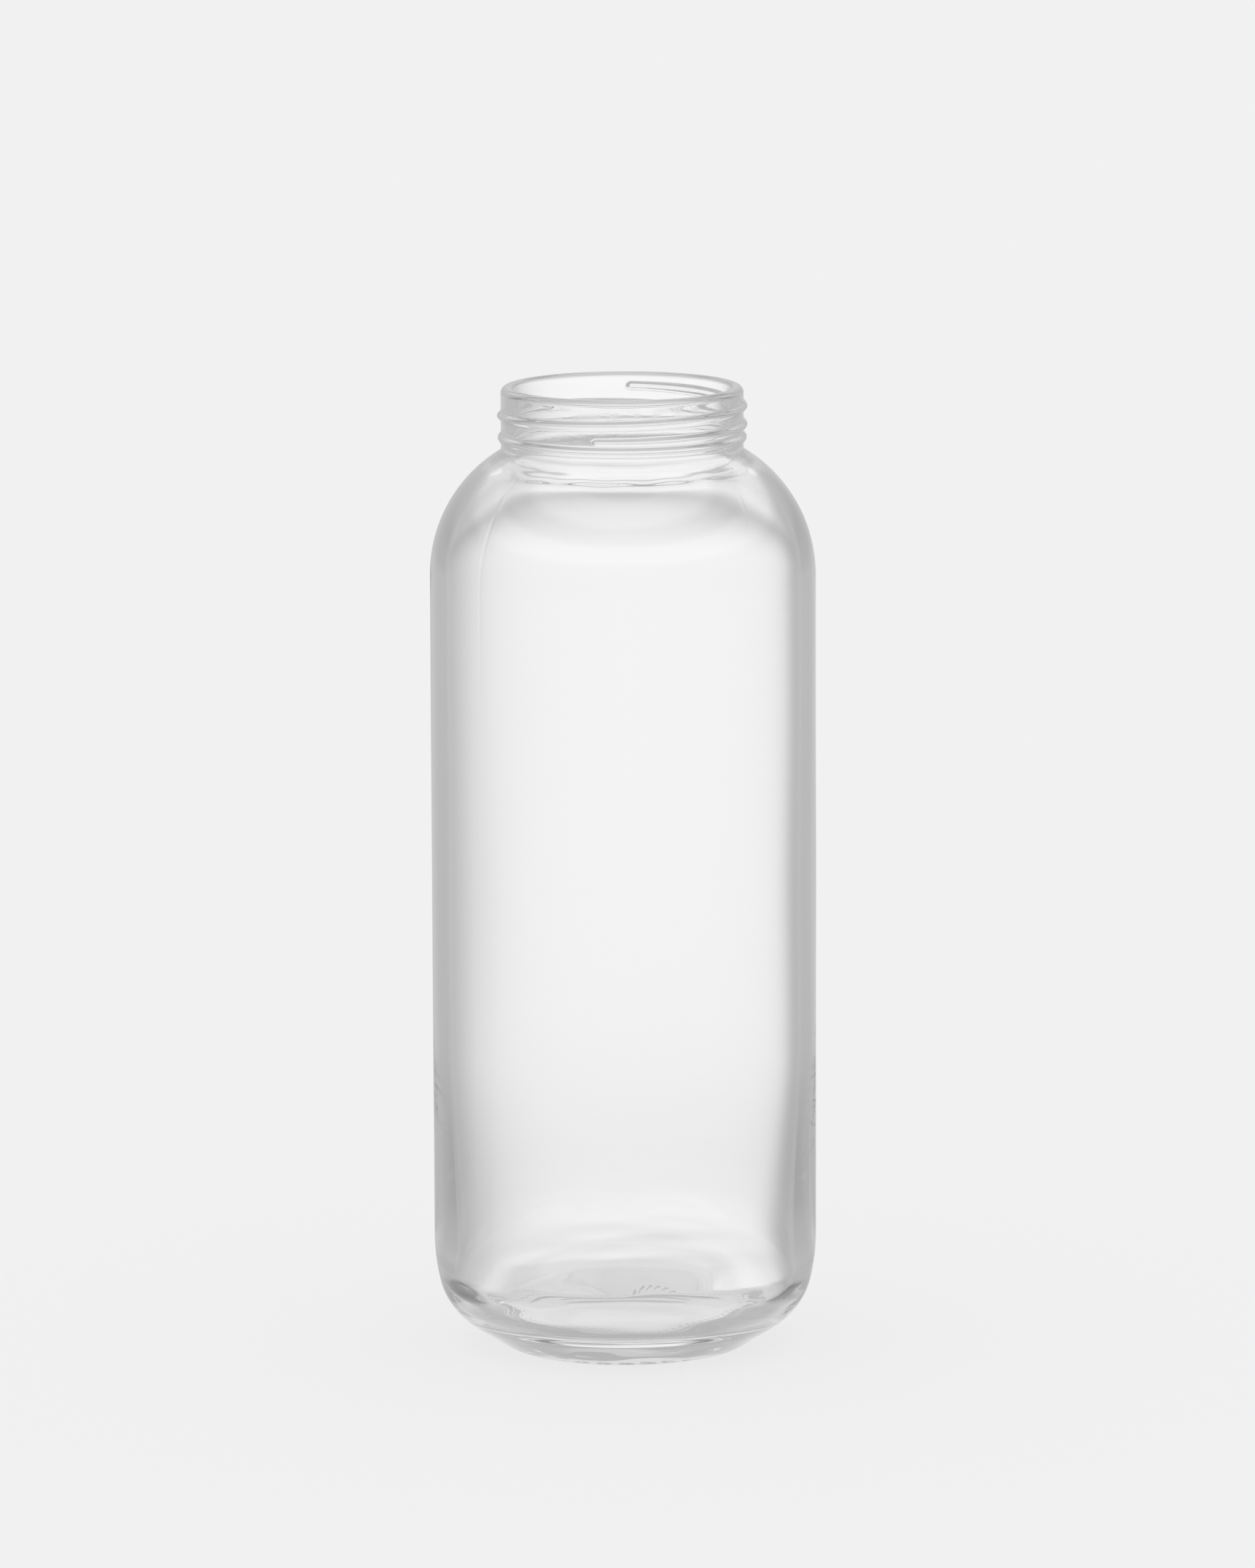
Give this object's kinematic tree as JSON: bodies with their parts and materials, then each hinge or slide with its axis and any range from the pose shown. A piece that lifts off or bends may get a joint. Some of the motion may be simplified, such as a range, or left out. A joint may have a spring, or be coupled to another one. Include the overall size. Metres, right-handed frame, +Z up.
{
  "type": "glass milk bottle",
  "caption": "Clear glass milk bottle of about a litre, with an open screw-thread neck, round shoulder, straight body and heavy pushed-up base.",
  "frame": {"origin": "on the bottle's axis, in the plane of the standing ring", "axes": "+Z up along the bottle's axis, out of the mouth; -Y is the front, where the thread ends"},
  "size_m": [0.088, 0.088, 0.2215],
  "materials": {
    "clear_glass": "clear, polished by the flame, with faint moulding waves"
  },
  "bodies": {
    "root": {"bottle": "clear_glass"}
  },
  "joints": []
}
